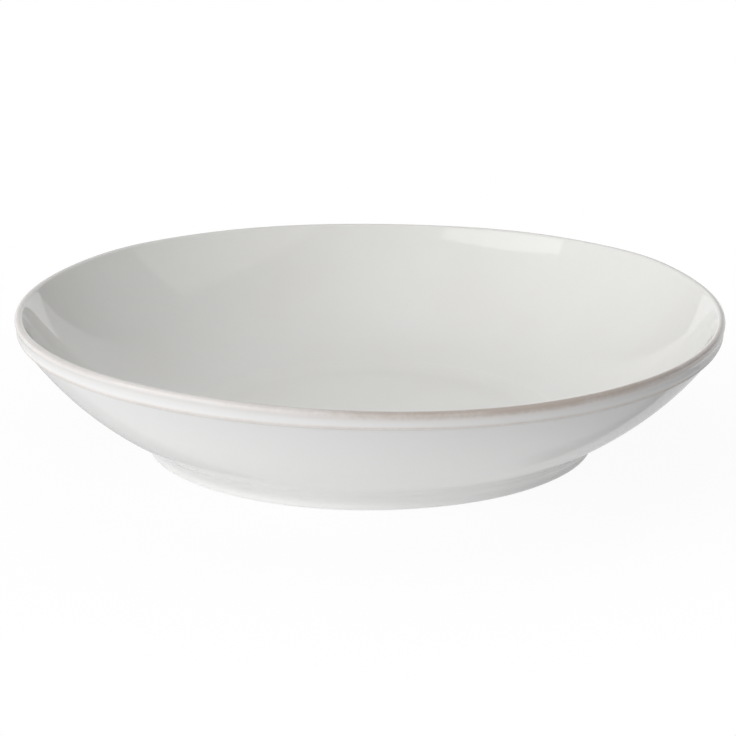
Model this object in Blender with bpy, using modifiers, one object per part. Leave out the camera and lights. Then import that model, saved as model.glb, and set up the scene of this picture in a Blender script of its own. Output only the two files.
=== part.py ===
"""Wide shallow serving bowl: a turned stoneware body under a thin glaze, bare on its foot ring.

Metres, +Z up. The origin is the middle of the foot ring's resting face, and Z is the turning axis.
"""

from math import acos, atan2, cos, pi, radians, sin, tan

import bpy
from mathutils import Vector

# Finished size, over the glaze
RIM_DIAMETER = 0.340
BOWL_HEIGHT = 0.0658

# Glaze, its fit on the clay, how much of the foot's rounded outer edge it covers, and how far above the
# table it stops inside the foot ring
GLAZE_THICKNESS = 0.0004
FIT_GAP = 0.0003
GLAZED_EDGE_SHARE = 1 / 3
BASE_GLAZE_LINE_HEIGHT = 0.0026

# Rim, on the clay: a round lip, a shallow cove under it, a small ridge and the fillet below that
LIP_RADIUS = 0.0014
LIP_OVERHANG = 0.0018
COVE_RADIUS = 0.0026
RIDGE_RADIUS = 0.0005
RIDGE_HEIGHT = 0.0004
RIDGE_TURN = radians(62.0)
RIDGE_FILLET_RADIUS = 0.0013

# Outer wall, on the clay: a curve from the ridge to the foot, with its end angles and their pulls
WALL_TOP_ANGLE = radians(55.5)
WALL_TOP_PULL = 0.031
WALL_FOOT_ANGLE = radians(18.0)
WALL_FOOT_PULL = 0.019

# Inside, on the clay: a curve from the lip to the flat floor
INSIDE_TOP_ANGLE = radians(57.0)
INSIDE_TOP_PULL = 0.043
INSIDE_FLOOR_ANGLE = radians(9.0)
INSIDE_FLOOR_PULL = 0.030
FLOOR_RADIUS = 0.082
FLOOR_HEIGHT = 0.0103
BASE_THICKNESS = 0.0050

# Foot ring, on the clay: it flares a little towards the table
FOOT_RADIUS = 0.1070
FOOT_FLARE = 0.0012
FOOT_HEIGHT = 0.0078
FOOT_WIDTH = 0.0080
FOOT_INSIDE_DRAFT = 0.0010
FOOT_CREASE_RADIUS = 0.0022
FOOT_EDGE_RADIUS = 0.0012
RECESS_FILLET_RADIUS = 0.0025

# Facets: steps in a full turn, and points along each kind of curve in a profile
TURN_STEPS = 60
ARC_POINTS = 4
SMALL_ARC_POINTS = 3
CURVE_POINTS = 8
MERGE_DISTANCE = 0.00002

# Finishes: colour and roughness
CLAY_FINISH = (0.50, 0.37, 0.28), 0.75
COAT_FINISH = (0.80, 0.78, 0.74), 0.12
BASE_FINISH = (0.78, 0.75, 0.70), 0.18

GLAZE_BUILD = FIT_GAP + GLAZE_THICKNESS
RECESS_HEIGHT = FLOOR_HEIGHT - BASE_THICKNESS
LIP_CENTRE = Vector((RIM_DIAMETER / 2, BOWL_HEIGHT)) - Vector((1.0, 1.0)) * (GLAZE_BUILD + LIP_RADIUS)

# A profile is a list of (radius, height) points. It runs outward over the floor, up the inside, over
# the lip, down the outside and back to the axis underneath, so that clay lies to its right.


def direction(angle):
    return Vector((cos(angle), sin(angle)))


def arc(centre, radius, start, end, count=ARC_POINTS):
    """Points on an arc from one angle to another, both ends included."""
    return [centre + radius * direction(start + (end - start) * i / (count - 1)) for i in range(count)]


def curve(start, start_pull, end_pull, end):
    """Points on a cubic curve, without its two ends."""
    points = []
    for i in range(1, CURVE_POINTS + 1):
        t = i / (CURVE_POINTS + 1)
        s = 1 - t
        points.append(s**3 * start + 3 * s * s * t * start_pull + 3 * s * t * t * end_pull + t**3 * end)
    return points


def rounded(before, corner, after, radius, start_share=0.0, end_share=1.0):
    """Points of the arc that rounds the corner between two straight sides, or of a share of that arc."""
    side_in = (before - corner).normalized()
    side_out = (after - corner).normalized()
    half_angle = side_in.angle(side_out) / 2
    reach = radius / tan(half_angle)
    centre = corner + (side_in + side_out).normalized() * radius / sin(half_angle)
    first = corner + side_in * reach - centre
    last = corner + side_out * reach - centre
    start = atan2(first.y, first.x)
    turn_angle = atan2(first.cross(last), first.dot(last))
    return arc(centre, radius, start + start_share * turn_angle, start + end_share * turn_angle)


def offset(points, distance):
    """The line with each of its points moved square to it, to its left, by a distance."""
    moved = []
    for i, point in enumerate(points):
        ends = points[max(i - 1, 0):i + 2]
        normals = []
        for a, b in zip(ends, ends[1:]):
            along = (b - a).normalized()
            normals.append(Vector((-along.y, along.x)))
        moved.append(point + sum(normals, Vector((0.0, 0.0))).normalized() * distance)
    return moved


def rim_profile():
    """Lip, cove, ridge and fillet, from the inside to the top of the outer wall."""
    lip_turn = acos(1 - LIP_OVERHANG / (LIP_RADIUS + COVE_RADIUS))
    cove_centre = LIP_CENTRE + (LIP_RADIUS + COVE_RADIUS) * direction(-lip_turn)
    cove_turn = acos(1 - RIDGE_HEIGHT / (COVE_RADIUS + RIDGE_RADIUS))
    ridge_centre = cove_centre - (COVE_RADIUS + RIDGE_RADIUS) * direction(cove_turn)
    fillet_centre = ridge_centre + (RIDGE_RADIUS + RIDGE_FILLET_RADIUS) * direction(-RIDGE_TURN)
    points = arc(LIP_CENTRE, LIP_RADIUS, pi / 2 + INSIDE_TOP_ANGLE, pi / 2, SMALL_ARC_POINTS)
    points += arc(LIP_CENTRE, LIP_RADIUS, pi / 2, 0.0)[1:]
    points += arc(LIP_CENTRE, LIP_RADIUS, 0.0, -lip_turn, SMALL_ARC_POINTS)[1:]
    points += arc(cove_centre, COVE_RADIUS, pi - lip_turn, pi + cove_turn)[1:]
    points += arc(ridge_centre, RIDGE_RADIUS, cove_turn, -RIDGE_TURN)[1:]
    fillet_end = pi / 2 + WALL_TOP_ANGLE
    points += arc(fillet_centre, RIDGE_FILLET_RADIUS, pi - RIDGE_TURN, fillet_end, SMALL_ARC_POINTS)[1:]
    return points


def inside_profile(lip_start):
    """The floor and the inside of the wall, up to the lip."""
    floor_edge = Vector((FLOOR_RADIUS, FLOOR_HEIGHT))
    floor_pull = floor_edge + INSIDE_FLOOR_PULL * direction(INSIDE_FLOOR_ANGLE)
    lip_pull = lip_start - INSIDE_TOP_PULL * direction(INSIDE_TOP_ANGLE)
    return [Vector((0.0, FLOOR_HEIGHT)), floor_edge] + curve(floor_edge, floor_pull, lip_pull, lip_start)


def foot_side(height):
    """The point of the foot's outer side at a height."""
    return Vector((FOOT_RADIUS - FOOT_FLARE * height / FOOT_HEIGHT, height))


def foot_inside(height):
    """The point of the foot ring's inner side at a height."""
    return Vector((FOOT_RADIUS - FOOT_WIDTH - FOOT_INSIDE_DRAFT * height / RECESS_HEIGHT, height))


def foot_edge(start_share, end_share):
    """A share of the foot's rounded outer edge, which turns from its side to its resting face."""
    side, corner, face = foot_side(FOOT_HEIGHT), foot_side(0.0), foot_inside(0.0)
    return rounded(side, corner, face, FOOT_EDGE_RADIUS, start_share, end_share)


def outside_profile(wall_top):
    """The outer wall, the foot's side and the glazed share of its edge."""
    crease = foot_side(FOOT_HEIGHT)
    top_pull = wall_top - WALL_TOP_PULL * direction(WALL_TOP_ANGLE)
    foot_pull = crease + WALL_FOOT_PULL * direction(WALL_FOOT_ANGLE)
    wall = curve(wall_top, top_pull, foot_pull, crease)
    fillet = rounded(wall[-1], crease, foot_side(0.0), FOOT_CREASE_RADIUS)
    return wall + fillet + foot_edge(0.0, GLAZED_EDGE_SHARE)


def resting_profile():
    """The bare share of the foot's outer edge, its flat resting face and its inner edge."""
    outer, inner = foot_side(0.0), foot_inside(0.0)
    points = foot_edge(GLAZED_EDGE_SHARE, 1.0)[1:]
    return points + rounded(outer, inner, foot_inside(BASE_GLAZE_LINE_HEIGHT), FOOT_EDGE_RADIUS)


def recess_profile():
    """The hollow in the foot, from the glaze line on its side to the axis."""
    line, corner = foot_inside(BASE_GLAZE_LINE_HEIGHT), foot_inside(RECESS_HEIGHT)
    middle = Vector((0.0, RECESS_HEIGHT))
    return [line] + rounded(line, corner, middle, RECESS_FILLET_RADIUS) + [middle]


def make_material(name, colour, roughness):
    material = bpy.data.materials.new(name)
    material.use_nodes = True
    shader = material.node_tree.nodes["Principled BSDF"]
    shader.inputs["Base Color"].default_value = (*colour, 1.0)
    shader.inputs["Roughness"].default_value = roughness
    shader.inputs["Metallic"].default_value = 0.0
    return material


def turn(name, profile, material, collection):
    """A solid turned about Z from a profile whose two ends lie on the axis."""
    mesh = bpy.data.meshes.new(name)
    corners = [(point.x, 0.0, point.y) for point in profile]
    mesh.from_pydata(corners, [(i, i + 1) for i in range(len(corners) - 1)], [])
    mesh.materials.append(material)
    piece = bpy.data.objects.new(name, mesh)
    collection.objects.link(piece)
    screw = piece.modifiers.new("Turn", "SCREW")
    screw.axis = "Z"
    screw.angle = 2 * pi
    screw.steps = TURN_STEPS
    screw.render_steps = TURN_STEPS
    screw.use_merge_vertices = True
    screw.merge_threshold = MERGE_DISTANCE
    screw.use_smooth_shade = True
    return piece


def main():
    for item in list(bpy.data.objects):
        bpy.data.objects.remove(item, do_unlink=True)
    bowl = bpy.data.collections.new("pasta_serving_bowl")
    bpy.context.scene.collection.children.link(bowl)

    rim = rim_profile()
    covered = inside_profile(rim[0]) + rim + outside_profile(rim[-1])
    recess = recess_profile()
    coat = offset(covered, GLAZE_BUILD) + offset(covered, FIT_GAP)[::-1]
    patch = offset(recess, FIT_GAP)[::-1] + offset(recess, GLAZE_BUILD)

    turn("stoneware_body", covered + resting_profile() + recess, make_material("clay", *CLAY_FINISH), bowl)
    turn("glaze_coat", coat, make_material("coat", *COAT_FINISH), bowl)
    turn("base_glaze", patch, make_material("base", *BASE_FINISH), bowl)


main()
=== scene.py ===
"""Looks of the glazed stoneware serving bowl: fine turned pieces, glaze and clay, soft light and the camera.

Metres, +Z up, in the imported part's frame. The origin is the middle of the foot ring's resting face.
"""

from math import acos, atan2, cos, pi, radians, sin, tan

import bpy
import numpy as np
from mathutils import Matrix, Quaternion, Vector, noise


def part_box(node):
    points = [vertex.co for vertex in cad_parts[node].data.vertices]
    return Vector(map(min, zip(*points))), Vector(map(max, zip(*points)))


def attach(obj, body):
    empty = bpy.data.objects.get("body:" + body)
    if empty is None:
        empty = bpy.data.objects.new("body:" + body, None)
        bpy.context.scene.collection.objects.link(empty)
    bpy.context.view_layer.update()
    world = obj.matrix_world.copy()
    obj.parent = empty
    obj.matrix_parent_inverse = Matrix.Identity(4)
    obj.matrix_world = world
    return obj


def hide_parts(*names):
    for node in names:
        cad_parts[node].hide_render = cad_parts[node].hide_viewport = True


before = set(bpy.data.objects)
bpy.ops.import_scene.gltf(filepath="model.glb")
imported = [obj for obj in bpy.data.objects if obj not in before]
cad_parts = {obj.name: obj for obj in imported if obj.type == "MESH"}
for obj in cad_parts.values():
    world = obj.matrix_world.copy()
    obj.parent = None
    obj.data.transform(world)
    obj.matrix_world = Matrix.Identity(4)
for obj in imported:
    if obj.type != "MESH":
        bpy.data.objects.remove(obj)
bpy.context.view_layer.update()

GLAZE_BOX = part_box("glaze_coat")

# Finished size over the glaze, from the frame
RIM_RADIUS = GLAZE_BOX[1][0]
BOWL_HEIGHT = GLAZE_BOX[1][2]

# Glaze, its fit on the clay, how much of the foot's rounded outer edge it covers, and how far above the
# table it stops inside the foot ring
GLAZE_THICKNESS = 0.0004
FIT_GAP = 0.0003
GLAZED_EDGE_SHARE = 1 / 3
BASE_GLAZE_LINE_HEIGHT = 0.0026

# Rim, on the clay: a round lip, a shallow cove under it, a small ridge and the fillet below that
LIP_RADIUS = 0.0014
LIP_OVERHANG = 0.0009
COVE_RADIUS = 0.0052
RIDGE_RADIUS = 0.0005
RIDGE_HEIGHT = 0.0002
RIDGE_TURN = radians(90.0)
RIDGE_FILLET_RADIUS = 0.0013

# Outer wall, on the clay: a curve from the ridge to the foot, with its end angles and their pulls
WALL_TOP_ANGLE = radians(55.5)
WALL_TOP_PULL = 0.031
WALL_FOOT_ANGLE = radians(22.0)
WALL_FOOT_PULL = 0.019

# Inside, on the clay: a curve from the lip to the flat floor, with a soft bend round the floor's edge
INSIDE_TOP_ANGLE = radians(57.0)
INSIDE_TOP_PULL = 0.043
INSIDE_FLOOR_ANGLE = radians(9.0)
INSIDE_FLOOR_PULL = 0.030
FLOOR_RADIUS = 0.082
FLOOR_HEIGHT = 0.0103
FLOOR_BEND_RADIUS = 0.100
BASE_THICKNESS = 0.0050

# Foot ring, on the clay: it flares a little towards the table, and a soft bend leads to it from the wall
FOOT_RADIUS = 0.1070
FOOT_FLARE = 0.0012
FOOT_HEIGHT = 0.0071
FOOT_WIDTH = 0.0080
FOOT_INSIDE_DRAFT = 0.0010
FOOT_BEND_REACH = 0.0110
FOOT_BEND_DROP = 0.0050
FOOT_BEND_PULL = 0.65
FOOT_EDGE_RADIUS = 0.0012
RECESS_FILLET_RADIUS = 0.0025

# Turning marks on the bare resting face
MARK_PITCH = 0.0007
MARK_DEPTH = 0.00006

# Hand-made rim: bulges of its height, each with its place round the rim, its spread and its lift, which
# fade out down the wall, and bulges of the lip alone, which fade out above the ridge
RIM_LIFTS = (
    (radians(205.0), radians(38.0), 0.0009),
    (radians(238.0), radians(19.0), 0.0005),
    (radians(262.0), radians(26.0), 0.0009),
    (radians(318.0), radians(34.0), -0.0023),
    (radians(33.0), radians(11.0), 0.0008),
    (radians(87.0), radians(26.0), -0.0016),
    (radians(141.0), radians(13.0), 0.0006),
)
LIFT_START_HEIGHT = 0.012
LIP_LIFTS = (
    (radians(231.0), radians(32.0), 0.0015),
    (radians(317.0), radians(27.0), 0.0012),
)
LIP_LIFT_START_DROP = 0.0080
LIP_LIFT_END_DROP = 0.0025

# Glaze break on the lip: how far the glaze has run off, everywhere and in bulges round the rim, the angles
# between which that starts on the lip's inside, the drops below the rim between which it fades outside, and
# how many times its radius the lip reaches
BREAK_BASE = 0.45
BREAK_BULGES = (
    (radians(294.0), radians(31.0), 0.72),
    (radians(247.0), radians(24.0), -0.16),
)
LIP_BREAK_INSIDE = (radians(120.0), radians(90.0))
LIP_BREAK_FADE = (0.0057, 0.0006)
LIP_MARGIN = 1.05

# Glaze break on the ridge, made stronger as painted shade of the dark line along it: its drop below the rim,
# its reach up and down, and how far the glaze has run off there
RIDGE_BREAK_AND_SHADE_DROP = 0.0071
RIDGE_BREAK_AND_SHADE_REACH = 0.0013
RIDGE_BREAK_AND_SHADE_SHARE = 0.55

# Heights between which painted shade greys the outside: none below, full near the rim
TOP_SHADE_HEIGHTS = (0.030, 0.065)

# Slow unevenness of the glaze surface
WAVE_SIZE = 0.045
WAVE_DEPTH = 0.0001

# Mesh density: steps in a full turn, points along each kind of run, the step from point to point on the
# glaze's hidden face, and the distance under which two points are the same
TURN_STEPS = 288
FLOOR_POINTS = 18
BEND_POINTS = 20
INSIDE_POINTS = 60
WALL_POINTS = 60
LIP_POINTS = 12
SMALL_ARC_POINTS = 8
HIDDEN_POINT_STEP = 3
MERGE_DISTANCE = 0.000001

# Noise of all materials: its detail and roughness where none are given, and the range of it that counts
NOISE_DETAIL = 3.0
NOISE_ROUGHNESS = 0.5
NOISE_RANGE = (0.30, 0.70)

# Glaze colours: two tones of the body, the cooler outside and its share, the grey of painted shade high on the
# # outside, and broken glaze, also painted shade on the ridge, with the range of the break over which pink
# turns into brown
GLAZE_PALE = (0.805, 0.805, 0.785)
GLAZE_CREAM = (0.790, 0.785, 0.760)
GLAZE_OUTSIDE = (0.790, 0.790, 0.788)
OUTSIDE_SHARE = 0.8
TOP_SHADE_GREY = (0.702, 0.703, 0.700)
BREAK_PINK = (0.670, 0.600, 0.565)
BREAK_BROWN = (0.505, 0.440, 0.398)
BROWN_RANGE = (0.10, 0.80)

# Glaze texture: features per metre of each noise, its own range where it has one, and what comes of it
CLOUD_SCALE = 16.0
MOTTLE_SCALE = 240.0
MOTTLE_RANGE = (0.45, 0.75)
MOTTLE_SHARES = (0.0, 0.35)
PATCH_SCALE = 45.0
PATCH_LEVELS = (0.88, 1.12)
STREAK_SCALE = 420.0
STREAK_LEVELS = (0.90, 1.08)
GLAZE_ROUGHNESS = (0.025, 0.045)
BREAK_ROUGHNESS = 0.12
GLAZE_BUMP_SCALE = 420.0
GLAZE_BUMP_DETAIL = 2.0
GLAZE_BUMP_STRENGTH = 0.02
GLAZE_BUMP_DEPTH = 0.0004

# Clay colours and texture, in the same terms
CLAY_TAN = (0.520, 0.400, 0.305)
CLAY_BUFF = (0.600, 0.490, 0.390)
CLAY_GRIT = (0.250, 0.170, 0.120)
CLAY_CLOUD_SCALE = 60.0
CLAY_CLOUD_DETAIL = 4.0
SAND_SCALE = 1600.0
SAND_NOISE_ROUGHNESS = 0.7
SAND_RANGE = (0.35, 0.75)
SAND_SHARES = (0.0, 0.45)
GRIT_SCALE = 420.0
GRIT_EDGE = (0.22, 0.10)
GRIT_CLOUD_RANGE = (0.45, 0.60)
CLAY_ROUGHNESS = (0.70, 0.92)
CLAY_BUMP_STRENGTH = 0.45
CLAY_BUMP_DEPTH = 0.0002

# White floor: a round table, how much of it glows, and its glow where it is seen, near the bowl and far off
STAGE_RADIUS = 0.36
STAGE_STEPS = 96
STAGE_WHITE = (0.92, 0.92, 0.92)
STAGE_LIT_SHARE = 0.58
SEEN_GLOW_RADII = (0.14, 0.34)
SEEN_GLOW_SHARES = (0.93, 1.0)

# Floor's glow for what it lights and mirrors: it falls off to the right, between two places on X, as a painted
# shadow of the bowl
STAGE_GLOW = (0.45, 0.86)
GLOW_FALL_OFF = (0.19, 0.07)

# Slanting line on the right of the floor, with painted light behind it and a painted shadow line before it
BRIGHT_LINE_NORMAL = (-0.58, 0.815, 0.0)
BRIGHT_LINE_PLACES = (-0.127, -0.117)
BRIGHT_LINE_GLOW = 0.84
DARK_LINE_PLACES = (-0.142, -0.128)
DARK_LINE_SIDE = (0.06, 0.10)
DARK_LINE_LEVEL = 0.55

# Round painted shadow of the bowl in the floor's glow on the left, outside the foot
SHADE_LEVEL = 0.64
SHADE_CENTRE = (0.013, 0.125, 0.0)
SHADE_RADII = (0.241, 0.233)
SHADE_INNER_RADII = (0.110, 0.115)
SHADE_SIDE = (-0.02, -0.07)

# Studio walls: a white band low down with the angles of its edges, which lights more on the left
WHITE_BAND_TOP = (radians(8.6), radians(9.6))
WHITE_BAND_FOOT = (radians(-18.0), radians(-15.0))
WHITE_BAND_SIDE = (-0.1, -0.9)
WHITE_BAND_LEVELS = (0.42, 1.5)

# Above the band, grey from a dark side to a bright one, and a paler backdrop that fades upwards
BRIGHT_SIDE_AZIMUTH = radians(130.0)
BRIGHT_SIDE_ELEVATION = radians(40.0)
BRIGHT_SIDE_REACH = (0.20, 0.90)
BRIGHT_SIDE_LEVEL = 0.46
DARK_SIDE_LEVEL = 0.09
BACKDROP_EDGES = (radians(58.0), radians(114.0))
BACKDROP_EDGE_BLUR = 0.01
BACKDROP_FADE = (radians(8.0), radians(56.0))
BACKDROP_EXTRA = 0.42

# Lamps: azimuth, elevation, distance from the bowl, width and height, and brightness
FRONT_SOFTBOX = (radians(275.0), radians(31.0), 2.0, (2.2, 1.1), 1.95)
LEFT_SOFTBOX = (radians(214.0), radians(22.0), 2.0, (2.2, 0.9), 3.15)
TOP_SOFTBOX = (radians(90.0), radians(74.0), 1.7, (1.6, 1.6), 0.95)
STRIP = (radians(202.5), radians(53.0), 1.6, (0.97, 0.16), 1.75)
STRIP_ROLL = radians(24.0)
WINDOW = (radians(338.0), radians(47.0), 2.2, (2.4, 1.18), 0.6)

# Camera, fitted to the photograph's outline, in its 736 pixel frame
IMAGE_SIZE = 736
SENSOR_WIDTH = 36.0
FOCAL_PIXELS = 3522.0
CAMERA_DISTANCE = 1.700
CAMERA_ELEVATION = radians(16.8)
CAMERA_TARGET_HEIGHT = 0.035
CAMERA_CLIP_END = 100.0
TARGET_PIXEL = (369.45, 369.15)

# Sockets of Blender's Mix node that take and give colours
MIX_COLOUR_INPUTS = (6, 7)
MIX_COLOUR_OUTPUT = 2

GLAZE_BUILD = FIT_GAP + GLAZE_THICKNESS
RECESS_HEIGHT = FLOOR_HEIGHT - BASE_THICKNESS
LIP_CENTRE = np.array((RIM_RADIUS, BOWL_HEIGHT)) - (GLAZE_BUILD + LIP_RADIUS)


# Profiles: arrays of (radius, height) points that run outward over the floor, up the inside, over the lip,
# down the outside and back to the axis underneath, so that clay lies to their right


def direction(angle):
    return np.array((cos(angle), sin(angle)))


def arc(centre, radius, start, end, count):
    """Points on an arc from one angle to another, both ends included."""
    angles = np.linspace(start, end, count)
    return centre + radius * np.stack((np.cos(angles), np.sin(angles)), axis=1)


def curve(start, start_pull, end_pull, end, count):
    """Points on a cubic curve, both ends included."""
    t = np.linspace(0.0, 1.0, count)[:, None]
    s = 1 - t
    return s**3 * start + 3 * s * s * t * start_pull + 3 * s * t * t * end_pull + t**3 * end


def rounded(before, corner, after, radius, count, start_share=0.0, end_share=1.0):
    """Points of the arc that rounds the corner between two straight sides, or of a share of that arc."""
    side_in = (before - corner) / np.linalg.norm(before - corner)
    side_out = (after - corner) / np.linalg.norm(after - corner)
    half_angle = acos(np.dot(side_in, side_out)) / 2
    middle = (side_in + side_out) / np.linalg.norm(side_in + side_out)
    centre = corner + middle * radius / sin(half_angle)
    first = corner + side_in * radius / tan(half_angle) - centre
    last = corner + side_out * radius / tan(half_angle) - centre
    start = atan2(first[1], first[0])
    turn_angle = atan2(first[0] * last[1] - first[1] * last[0], np.dot(first, last))
    return arc(centre, radius, start + start_share * turn_angle, start + end_share * turn_angle, count)


def joined(*runs):
    """Runs of points in one array, without the points that repeat where two runs meet."""
    points = np.concatenate(runs)
    steps = np.linalg.norm(np.diff(points, axis=0), axis=1)
    return points[np.concatenate(([True], steps > MERGE_DISTANCE))]


def normals_of(points):
    """Unit normals to the left of a profile."""
    along = np.diff(points, axis=0)
    along /= np.linalg.norm(along, axis=1)[:, None]
    mean = np.concatenate((along[:1], along[:-1] + along[1:], along[-1:]))
    mean /= np.linalg.norm(mean, axis=1)[:, None]
    return np.stack((-mean[:, 1], mean[:, 0]), axis=1)


def offset(points, distance):
    """A profile moved to its left by a distance."""
    return points + normals_of(points) * distance


def rim_profile():
    """Lip, cove, ridge and fillet, from the inside to the top of the outer wall."""
    lip_turn = acos(1 - LIP_OVERHANG / (LIP_RADIUS + COVE_RADIUS))
    cove_centre = LIP_CENTRE + (LIP_RADIUS + COVE_RADIUS) * direction(-lip_turn)
    cove_turn = acos(1 - RIDGE_HEIGHT / (COVE_RADIUS + RIDGE_RADIUS))
    ridge_centre = cove_centre - (COVE_RADIUS + RIDGE_RADIUS) * direction(cove_turn)
    fillet_centre = ridge_centre + (RIDGE_RADIUS + RIDGE_FILLET_RADIUS) * direction(-RIDGE_TURN)
    fillet_end = pi / 2 + WALL_TOP_ANGLE
    return joined(
        arc(LIP_CENTRE, LIP_RADIUS, pi / 2 + INSIDE_TOP_ANGLE, pi / 2, LIP_POINTS),
        arc(LIP_CENTRE, LIP_RADIUS, pi / 2, 0.0, LIP_POINTS),
        arc(LIP_CENTRE, LIP_RADIUS, 0.0, -lip_turn, SMALL_ARC_POINTS),
        arc(cove_centre, COVE_RADIUS, pi - lip_turn, pi + cove_turn, LIP_POINTS),
        arc(ridge_centre, RIDGE_RADIUS, cove_turn, -RIDGE_TURN, LIP_POINTS),
        arc(fillet_centre, RIDGE_FILLET_RADIUS, pi - RIDGE_TURN, fillet_end, SMALL_ARC_POINTS),
    )


def inside_profile(lip_start):
    """The floor, the bend round it and the inside of the wall, up to the lip."""
    middle = np.array((0.0, FLOOR_HEIGHT))
    floor_edge = np.array((FLOOR_RADIUS, FLOOR_HEIGHT))
    floor_pull = floor_edge + INSIDE_FLOOR_PULL * direction(INSIDE_FLOOR_ANGLE)
    lip_pull = lip_start - INSIDE_TOP_PULL * direction(INSIDE_TOP_ANGLE)
    wall = curve(floor_edge, floor_pull, lip_pull, lip_start, INSIDE_POINTS)
    bend = rounded(middle, floor_edge, floor_pull, FLOOR_BEND_RADIUS, BEND_POINTS)
    floor = np.linspace(middle, bend[0], FLOOR_POINTS)
    return joined(floor, bend, wall[wall[:, 0] > bend[-1, 0]])


def foot_side(height):
    """The point of the foot's outer side at a height."""
    return np.array((FOOT_RADIUS - FOOT_FLARE * height / FOOT_HEIGHT, height))


def foot_inside(height):
    """The point of the foot ring's inner side at a height."""
    return np.array((FOOT_RADIUS - FOOT_WIDTH - FOOT_INSIDE_DRAFT * height / RECESS_HEIGHT, height))


def foot_edge(start_share, end_share):
    """A share of the foot's rounded outer edge, which turns from its side to its resting face."""
    side, corner, face = foot_side(FOOT_HEIGHT), foot_side(0.0), foot_inside(0.0)
    return rounded(side, corner, face, FOOT_EDGE_RADIUS, SMALL_ARC_POINTS, start_share, end_share)


def outside_profile(wall_top):
    """The outer wall, the bend to the foot, the foot's side and the glazed share of its edge."""
    crease = foot_side(FOOT_HEIGHT)
    top_pull = wall_top - WALL_TOP_PULL * direction(WALL_TOP_ANGLE)
    foot_pull = crease + WALL_FOOT_PULL * direction(WALL_FOOT_ANGLE)
    wall = curve(wall_top, top_pull, foot_pull, crease, WALL_POINTS)
    wall = wall[wall[:, 0] > crease[0] + FOOT_BEND_REACH]
    side_top = foot_side(FOOT_HEIGHT - FOOT_BEND_DROP)
    along = (wall[-1] - wall[-2]) / np.linalg.norm(wall[-1] - wall[-2])
    bend_start = wall[-1] + FOOT_BEND_PULL * FOOT_BEND_REACH * along
    bend_end = side_top + FOOT_BEND_PULL * (crease - side_top)
    bend = curve(wall[-1], bend_start, bend_end, side_top, BEND_POINTS)
    edge = foot_edge(0.0, GLAZED_EDGE_SHARE)
    side = np.linspace(side_top, edge[0], SMALL_ARC_POINTS)
    return joined(wall, bend, side, edge)


def resting_profile():
    """The bare share of the foot's outer edge, its resting face with turning marks, and its inner edge."""
    outer, inner = foot_side(0.0), foot_inside(0.0)
    inner_edge = rounded(outer, inner, foot_inside(RECESS_HEIGHT), FOOT_EDGE_RADIUS, SMALL_ARC_POINTS)
    outer_edge = foot_edge(GLAZED_EDGE_SHARE, 1.0)
    marks = int((outer_edge[-1, 0] - inner_edge[0, 0]) / MARK_PITCH)
    face = np.linspace(outer_edge[-1], inner_edge[0], 2 * marks + 1)
    face[1::2, 1] += MARK_DEPTH
    return joined(outer_edge, face, inner_edge)


def recess_profile():
    """The hollow in the foot, from the glaze line on its side to the axis."""
    line, corner = foot_inside(BASE_GLAZE_LINE_HEIGHT), foot_inside(RECESS_HEIGHT)
    middle = np.array((0.0, RECESS_HEIGHT))
    fillet = rounded(line, corner, middle, RECESS_FILLET_RADIUS, SMALL_ARC_POINTS)
    ceiling = np.linspace(fillet[-1], middle, FLOOR_POINTS)
    return joined(line[None], fillet, ceiling)


# Meshes


def turn_angles(steps):
    return np.arange(steps) * 2 * pi / steps


def ramp(value, low, high):
    """Rises smoothly from 0 to 1 as a value goes from low to high, which may be the smaller one."""
    share = np.clip((value - low) / (high - low), 0.0, 1.0)
    return share * share * (3 - 2 * share)


def bulges(angles, table):
    """The sum of smooth bulges round the bowl, each with its place, its spread and its height."""
    total = np.zeros_like(angles)
    for centre, reach, height in table:
        away = (angles - centre + pi) % (2 * pi) - pi
        total += height * np.exp(-(away / reach) ** 2)
    return total


def turned_places(profile, wave_depth):
    """Where each profile point lies at each step of the turn. The rim's lift fades out down the wall, and
    waves move the surface square to itself."""
    angles = turn_angles(TURN_STEPS)
    cosines, sines = np.cos(angles), np.sin(angles)
    radius, height = profile[:, :1], profile[:, 1:]
    lift = ramp(height, LIFT_START_HEIGHT, BOWL_HEIGHT) * bulges(angles, RIM_LIFTS)
    lip_share = ramp(height, BOWL_HEIGHT - LIP_LIFT_START_DROP, BOWL_HEIGHT - LIP_LIFT_END_DROP)
    lift = lift + lip_share * bulges(angles, LIP_LIFTS)
    places = np.stack((radius * cosines, radius * sines, height + lift), axis=2)
    if not wave_depth:
        return places
    outward, upward = np.hsplit(normals_of(profile), 2)
    square = np.stack((outward * cosines, outward * sines, upward + 0 * angles), axis=2)
    waves = [noise.noise(Vector(place) / WAVE_SIZE) for place in places.reshape(-1, 3)]
    return places + square * wave_depth * np.reshape(waves, (len(profile), TURN_STEPS, 1))


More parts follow.
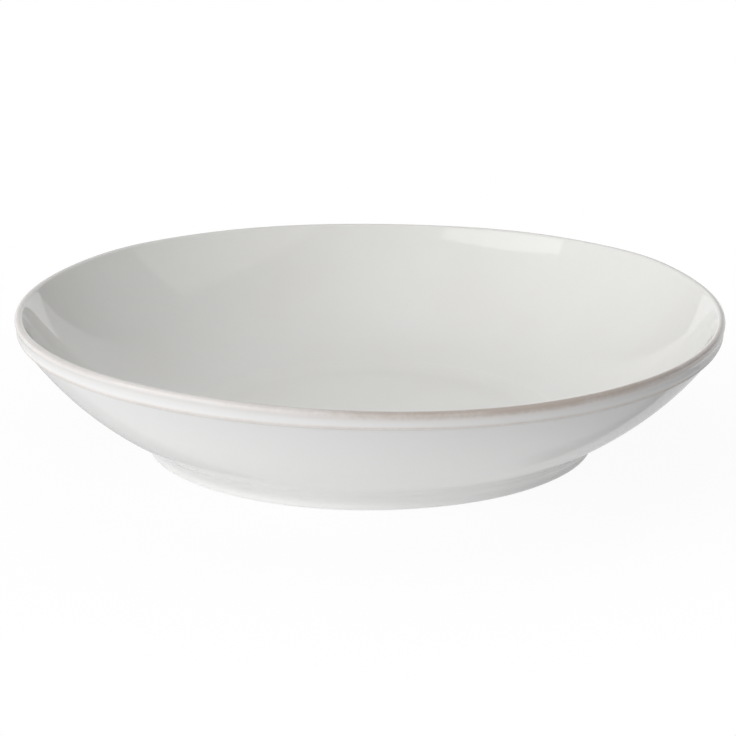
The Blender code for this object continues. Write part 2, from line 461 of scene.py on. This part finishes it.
def turned(name, profile, wave_depth=0.0, layers=None):
    """A closed piece turned about Z from a profile whose two ends lie on the axis. A layer is a named value
    for each profile point and each step of the turn, or for each profile point alone."""
    places = turned_places(profile, wave_depth)
    rings = places[1:-1].reshape(-1, 3)
    corners = np.concatenate((places[0, :1], rings, places[-1, :1]))
    last = len(corners) - 1

    steps = np.arange(TURN_STEPS)
    here = 1 + steps
    following = 1 + (steps + 1) % TURN_STEPS
    last_row = (len(profile) - 3) * TURN_STEPS
    faces = [(0, a, b) for a, b in zip(here.tolist(), following.tolist())]
    for row in range(0, last_row, TURN_STEPS):
        below = row + TURN_STEPS
        quads = np.stack((row + here, below + here, below + following, row + following), axis=1)
        faces += quads.tolist()
    faces += [(a, last, b) for a, b in zip((last_row + here).tolist(), (last_row + following).tolist())]

    mesh = bpy.data.meshes.new(name)
    mesh.from_pydata(corners.tolist(), [], faces)
    mesh.shade_smooth()
    for layer_name, shares in (layers or {}).items():
        shares = np.broadcast_to(shares.reshape(len(profile), -1), (len(profile), TURN_STEPS))
        values = np.concatenate((shares[0, :1], shares[1:-1].ravel(), shares[-1, :1]))
        layer = mesh.attributes.new(layer_name, "FLOAT", "POINT")
        layer.data.foreach_set("value", values.astype(np.float32))
    piece = bpy.data.objects.new(name, mesh)
    bpy.context.scene.collection.objects.link(piece)
    return piece


def outside_of(points):
    """1 along the outside of a profile that runs from the floor over the lip to the foot, 0 inside."""
    return np.where(np.arange(len(points)) > np.argmax(points[:, 1]), 1.0, 0.0)


def glaze_break_and_ridge_shade(points):
    """How far the glaze has run off, by profile point and step of the turn: off the lip's edge, less and less
    down its outside, and off the ridge, where the break colours are also painted shade of the dark line along
    it."""
    from_lip = points - LIP_CENTRE
    on_lip = np.linalg.norm(from_lip, axis=1) < LIP_MARGIN * (LIP_RADIUS + GLAZE_BUILD)
    angle = np.arctan2(from_lip[:, 1], from_lip[:, 0])
    drop = BOWL_HEIGHT - points[:, 1]
    outside = outside_of(points)
    lip = np.where(outside > 0.0, ramp(drop, *LIP_BREAK_FADE), on_lip * ramp(angle, *LIP_BREAK_INSIDE))
    # The ridge's share is a glaze break and also painted shade of the dark line along the ridge.
    ridge = outside * ramp(np.abs(drop - RIDGE_BREAK_AND_SHADE_DROP), RIDGE_BREAK_AND_SHADE_REACH, 0.0)
    round_rim = BREAK_BASE + bulges(turn_angles(TURN_STEPS), BREAK_BULGES)
    return np.outer(lip, round_rim) + RIDGE_BREAK_AND_SHADE_SHARE * ridge[:, None]


def outside_top_shade(points):
    """How much painted shade greys the outside: most near the rim, none down towards the foot."""
    return outside_of(points) * ramp(points[:, 1], *TOP_SHADE_HEIGHTS)


# Materials


def new_material(name):
    material = bpy.data.materials.new(name)
    material.use_nodes = True
    tree = material.node_tree
    return material, tree, tree.nodes["Principled BSDF"]


def node(tree, kind, inputs=None, **settings):
    """A new node with its settings. Each input is a socket to link or a plain value."""
    made = tree.nodes.new(kind)
    for key, value in settings.items():
        setattr(made, key, value)
    for key, value in (inputs or {}).items():
        if isinstance(value, bpy.types.NodeSocket):
            tree.links.new(value, made.inputs[key])
        else:
            made.inputs[key].default_value = value
    return made


def speckle(tree, place, scale, detail=NOISE_DETAIL, roughness=NOISE_ROUGHNESS):
    """Noise with features of about one metre over the scale, from 0 to 1."""
    values = {"Vector": place, "Scale": scale, "Detail": detail, "Roughness": roughness}
    return node(tree, "ShaderNodeTexNoise", values).outputs["Fac"]


def layer_value(tree, name):
    return node(tree, "ShaderNodeAttribute", attribute_name=name).outputs["Fac"]


def spread(tree, value, low, high, to_low=0.0, to_high=1.0):
    """A value's range turned smoothly into another one, and held at its ends."""
    values = {"Value": value, "From Min": low, "From Max": high, "To Min": to_low, "To Max": to_high}
    return node(tree, "ShaderNodeMapRange", values, interpolation_type="SMOOTHSTEP").outputs["Result"]


def combined(tree, operation, first, *others):
    """Values put together one after the other, by a Math node's operation."""
    for other in others:
        first = node(tree, "ShaderNodeMath", {0: first, 1: other}, operation=operation).outputs["Value"]
    return first


def measured(tree, operation, *vectors):
    """A length, a distance or a dot product, by a Vector Math node's operation."""
    values = dict(enumerate(vectors))
    return node(tree, "ShaderNodeVectorMath", values, operation=operation).outputs["Value"]


def blended(tree, share, first, second):
    """A colour between two, each a socket or a plain colour."""
    made = node(tree, "ShaderNodeMix", {"Factor": share}, data_type="RGBA")
    for key, colour in zip(MIX_COLOUR_INPUTS, (first, second)):
        if isinstance(colour, bpy.types.NodeSocket):
            tree.links.new(colour, made.inputs[key])
        else:
            made.inputs[key].default_value = (*colour, 1.0)
    return made.outputs[MIX_COLOUR_OUTPUT]


def bumped(tree, shader, height, strength, distance):
    values = {"Height": height, "Strength": strength, "Distance": distance}
    bump = node(tree, "ShaderNodeBump", values)
    tree.links.new(bump.outputs["Normal"], shader.inputs["Normal"])


def glaze_material(name):
    """Glossy off-white glaze. Where it has run thin it lets the warm clay show. Painted shade greys the
    outside near the rim, and the break colours also paint shade on the ridge.
    """
    material, tree, shader = new_material(name)
    place = node(tree, "ShaderNodeTexCoord").outputs["Object"]
    clouds = speckle(tree, place, CLOUD_SCALE)
    mottle = speckle(tree, place, MOTTLE_SCALE)
    patches = speckle(tree, place, PATCH_SCALE)
    streaks = speckle(tree, place, STREAK_SCALE)
    run_off_and_shade = layer_value(tree, "glaze_break_and_ridge_shade")
    top_shade = layer_value(tree, "outside_top_shade")
    outside = layer_value(tree, "glaze_outside")

    body = blended(tree, spread(tree, clouds, *NOISE_RANGE), GLAZE_PALE, GLAZE_CREAM)
    body = blended(tree, spread(tree, mottle, *MOTTLE_RANGE, *MOTTLE_SHARES), body, GLAZE_CREAM)
    body = blended(tree, combined(tree, "MULTIPLY", outside, OUTSIDE_SHARE), body, GLAZE_OUTSIDE)
    # Painted shade: the outside greys towards the rim.
    body = blended(tree, top_shade, body, TOP_SHADE_GREY)
    streak_level = spread(tree, streaks, *NOISE_RANGE, *STREAK_LEVELS)
    patch_level = spread(tree, patches, *NOISE_RANGE, *PATCH_LEVELS)
    shown = combined(tree, "MULTIPLY", run_off_and_shade, streak_level, patch_level)
    warm = blended(tree, spread(tree, shown, *BROWN_RANGE), BREAK_PINK, BREAK_BROWN)
    tree.links.new(blended(tree, shown, body, warm), shader.inputs["Base Color"])

    gloss = spread(tree, mottle, *NOISE_RANGE, *GLAZE_ROUGHNESS)
    gloss = combined(tree, "ADD", gloss, combined(tree, "MULTIPLY", shown, BREAK_ROUGHNESS))
    tree.links.new(gloss, shader.inputs["Roughness"])
    fine = speckle(tree, place, GLAZE_BUMP_SCALE, detail=GLAZE_BUMP_DETAIL)
    bumped(tree, shader, fine, GLAZE_BUMP_STRENGTH, GLAZE_BUMP_DEPTH)
    return material


def clay_material(name):
    """Bare fired stoneware: matt, sandy, with dark grit."""
    material, tree, shader = new_material(name)
    place = node(tree, "ShaderNodeTexCoord").outputs["Object"]
    clouds = speckle(tree, place, CLAY_CLOUD_SCALE, detail=CLAY_CLOUD_DETAIL)
    sand = speckle(tree, place, SAND_SCALE, roughness=SAND_NOISE_ROUGHNESS)
    cells = node(tree, "ShaderNodeTexVoronoi", {"Vector": place, "Scale": GRIT_SCALE})
    grit = spread(tree, cells.outputs["Distance"], *GRIT_EDGE)
    grit = combined(tree, "MULTIPLY", grit, spread(tree, clouds, *GRIT_CLOUD_RANGE))
    body = blended(tree, spread(tree, clouds, *NOISE_RANGE), CLAY_TAN, CLAY_BUFF)
    body = blended(tree, spread(tree, sand, *SAND_RANGE, *SAND_SHARES), body, CLAY_TAN)
    tree.links.new(blended(tree, grit, body, CLAY_GRIT), shader.inputs["Base Color"])
    tree.links.new(spread(tree, sand, *NOISE_RANGE, *CLAY_ROUGHNESS), shader.inputs["Roughness"])
    bumped(tree, shader, sand, CLAY_BUMP_STRENGTH, CLAY_BUMP_DEPTH)
    return material


# Pieces


def dress(piece, replaced, material):
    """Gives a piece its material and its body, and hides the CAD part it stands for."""
    piece.data.materials.append(material)
    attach(piece, "root")
    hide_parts(replaced)


def make_bowl():
    """The clay body, the glaze over it and the glaze in the foot's recess. The glaze's hidden face runs back
    to the axis with fewer points."""
    rim = rim_profile()
    covered = joined(inside_profile(rim[0]), rim, outside_profile(rim[-1]))
    recess = recess_profile()
    body = joined(covered, resting_profile(), recess)

    surface = offset(covered, GLAZE_BUILD)
    hidden = offset(covered, FIT_GAP)
    hidden = np.concatenate((hidden[:0:-HIDDEN_POINT_STEP], hidden[:1]))
    coat = np.concatenate((surface, hidden))
    layers = {
        "glaze_break_and_ridge_shade": glaze_break_and_ridge_shade(surface),
        "outside_top_shade": outside_top_shade(surface),
        "glaze_outside": outside_of(surface),
    }
    layers = {key: np.concatenate((values, 0 * values[:len(hidden)])) for key, values in layers.items()}
    patch = np.concatenate((offset(recess, FIT_GAP)[::-1], offset(recess, GLAZE_BUILD)))

    dress(turned("clay_body", body), "stoneware_body", clay_material("bare_clay"))
    glaze = turned("glaze_skin", coat, WAVE_DEPTH, layers)
    dress(glaze, "glaze_coat", glaze_material("off_white_glaze"))
    base = turned("base_skin", patch, WAVE_DEPTH)
    dress(base, "base_glaze", glaze_material("base_glaze"))


# Stage, light and camera


def path_share(tree, *names):
    """1 on the named kinds of ray, 0 on others."""
    path = node(tree, "ShaderNodeLightPath")
    return combined(tree, "MAXIMUM", *(path.outputs[name] for name in names))


def dimmed(tree, level, share, factor):
    """A level that is multiplied by a factor where a share is 1, and kept where it is 0."""
    return combined(tree, "MULTIPLY", level, spread(tree, share, 0.0, 1.0, 1.0, factor))


def stage_glow(tree, place, away):
    """The strength of the floor's glow for what it lights and mirrors, with painted shadows of the bowl and
    painted light in it.
    """
    aside = node(tree, "ShaderNodeSeparateXYZ", {0: place}).outputs["X"]
    glow = spread(tree, aside, *GLOW_FALL_OFF, *STAGE_GLOW)
    past = measured(tree, "DOT_PRODUCT", place, BRIGHT_LINE_NORMAL)
    on_right = spread(tree, aside, *DARK_LINE_SIDE)
    dark = combined(tree, "MULTIPLY", spread(tree, past, *DARK_LINE_PLACES), on_right)
    glow = dimmed(tree, glow, dark, DARK_LINE_LEVEL)
    bright = spread(tree, past, *BRIGHT_LINE_PLACES, 0.0, BRIGHT_LINE_GLOW)
    glow = combined(tree, "MAXIMUM", glow, bright)
    inside = spread(tree, measured(tree, "DISTANCE", place, SHADE_CENTRE), *SHADE_RADII)
    on_left = spread(tree, aside, *SHADE_SIDE)
    off_foot = spread(tree, away, *SHADE_INNER_RADII)
    return dimmed(tree, glow, combined(tree, "MULTIPLY", inside, on_left, off_foot), SHADE_LEVEL)


def make_floor():
    """White floor that glows as a table lit from below, with painted shadows in the glow it gives the bowl.
    Seen, it glows towards pure white, so that only a faint shadow is left.
    """
    mesh = bpy.data.meshes.new("floor")
    edge = [(STAGE_RADIUS * cos(angle), STAGE_RADIUS * sin(angle), 0.0) for angle in turn_angles(STAGE_STEPS)]
    mesh.from_pydata(edge, [], [range(STAGE_STEPS)])
    floor = bpy.data.objects.new("floor", mesh)
    bpy.context.scene.collection.objects.link(floor)
    material, tree, shader = new_material("white_floor")
    shader.inputs["Base Color"].default_value = (*STAGE_WHITE, 1.0)
    shader.inputs["Roughness"].default_value = 1.0
    shader.inputs["Specular IOR Level"].default_value = 0.0
    place = node(tree, "ShaderNodeTexCoord").outputs["Object"]
    away = measured(tree, "LENGTH", place)
    looking = path_share(tree, "Is Camera Ray")
    strength = combined(tree, "MAXIMUM", looking, stage_glow(tree, place, away))
    glow = node(tree, "ShaderNodeEmission", {"Strength": strength})
    seen = combined(tree, "MULTIPLY", looking, spread(tree, away, *SEEN_GLOW_RADII, *SEEN_GLOW_SHARES))
    share = combined(tree, "MAXIMUM", seen, STAGE_LIT_SHARE)
    mix = node(tree, "ShaderNodeMixShader", {0: share, 1: shader.outputs[0], 2: glow.outputs[0]})
    tree.links.new(mix.outputs[0], tree.nodes["Material Output"].inputs["Surface"])
    mesh.materials.append(material)


def way_to(azimuth, elevation):
    """The direction to a place. Azimuth 0 is at +X and 90 degrees at +Y."""
    return Vector((cos(elevation) * cos(azimuth), cos(elevation) * sin(azimuth), sin(elevation)))


def make_world():
    """Studio walls, white where they are seen and in a band low down, and grey above it."""
    world = bpy.data.worlds.new("studio")
    world.use_nodes = True
    bpy.context.scene.world = world
    tree = world.node_tree
    way = node(tree, "ShaderNodeTexCoord").outputs["Generated"]
    parts = node(tree, "ShaderNodeSeparateXYZ", {0: way}).outputs
    height = parts["Z"]

    towards = measured(tree, "DOT_PRODUCT", way, way_to(BRIGHT_SIDE_AZIMUTH, BRIGHT_SIDE_ELEVATION))
    level = spread(tree, towards, *BRIGHT_SIDE_REACH, DARK_SIDE_LEVEL, BRIGHT_SIDE_LEVEL)
    backdrop = spread(tree, height, sin(BACKDROP_FADE[1]), sin(BACKDROP_FADE[0]), 0.0, BACKDROP_EXTRA)
    for edge, side in zip(BACKDROP_EDGES, (1.0, -1.0)):
        across = Vector((-sin(edge), cos(edge), 0.0)) * side
        past = measured(tree, "DOT_PRODUCT", way, across)
        inside = spread(tree, past, -BACKDROP_EDGE_BLUR, BACKDROP_EDGE_BLUR)
        backdrop = combined(tree, "MULTIPLY", backdrop, inside)
    level = combined(tree, "ADD", level, backdrop)

    mirrored = path_share(tree, "Is Glossy Ray", "Is Transmission Ray")
    band = spread(tree, parts["X"], *WHITE_BAND_SIDE, *WHITE_BAND_LEVELS)
    band = combined(tree, "MAXIMUM", band, mirrored)
    under_top = spread(tree, height, sin(WHITE_BAND_TOP[1]), sin(WHITE_BAND_TOP[0]))
    over_foot = spread(tree, height, sin(WHITE_BAND_FOOT[0]), sin(WHITE_BAND_FOOT[1]))
    band = combined(tree, "MULTIPLY", band, under_top, over_foot)
    level = combined(tree, "MAXIMUM", level, band, path_share(tree, "Is Camera Ray"))
    tree.links.new(level, tree.nodes["Background"].inputs["Strength"])
    tree.nodes["Background"].inputs["Color"].default_value = (1.0, 1.0, 1.0, 1.0)


def softbox(name, azimuth, elevation, distance, size, brightness, roll=0.0, lights=True, mirrored=True):
    """A rectangular lamp that looks at the bowl, as bright as a white wall times its brightness. One that
    doesn't light the bowl only shows as a reflection, and one that isn't mirrored only lights it."""
    aim = Vector((0.0, 0.0, CAMERA_TARGET_HEIGHT))
    way = way_to(azimuth, elevation)
    data = bpy.data.lights.new(name, "AREA")
    data.shape = "RECTANGLE"
    data.size, data.size_y = size
    data.energy = pi * brightness * size[0] * size[1]
    lamp = bpy.data.objects.new(name, data)
    lamp.location = aim + distance * way
    turn = (-way).to_track_quat("-Z", "Y") @ Quaternion((0.0, 0.0, 1.0), roll)
    lamp.rotation_euler = turn.to_euler()
    lamp.visible_camera = False
    lamp.visible_diffuse = lights
    lamp.visible_glossy = mirrored
    bpy.context.scene.collection.objects.link(lamp)


def make_lights():
    """Large soft light from the front, the left and above, and a strip and a window that are only mirrored."""
    softbox("front_softbox", *FRONT_SOFTBOX)
    softbox("left_softbox", *LEFT_SOFTBOX)
    softbox("top_softbox", *TOP_SOFTBOX, mirrored=False)
    softbox("strip", *STRIP, roll=STRIP_ROLL, lights=False)
    softbox("window", *WINDOW, lights=False)


def make_camera():
    """The photograph's view, moved sideways so that the target falls on its pixel."""
    data = bpy.data.cameras.new("camera")
    data.sensor_width = SENSOR_WIDTH
    data.lens = FOCAL_PIXELS * SENSOR_WIDTH / IMAGE_SIZE
    data.clip_end = CAMERA_CLIP_END
    camera = bpy.data.objects.new("camera", data)
    back = Vector((0.0, -cos(CAMERA_ELEVATION), sin(CAMERA_ELEVATION)))
    right = Vector((1.0, 0.0, 0.0))
    up = back.cross(right)
    pixel = CAMERA_DISTANCE / FOCAL_PIXELS
    centre = (IMAGE_SIZE - 1) / 2
    aside = (centre - TARGET_PIXEL[0]) * pixel * right - (centre - TARGET_PIXEL[1]) * pixel * up
    camera.location = Vector((0.0, 0.0, CAMERA_TARGET_HEIGHT)) + aside + CAMERA_DISTANCE * back
    camera.rotation_euler = (-back).to_track_quat("-Z", "Y").to_euler()
    bpy.context.scene.collection.objects.link(camera)
    bpy.context.scene.camera = camera


make_camera()
make_bowl()
make_floor()
make_world()
make_lights()
bpy.context.scene.view_settings.view_transform = "Standard"
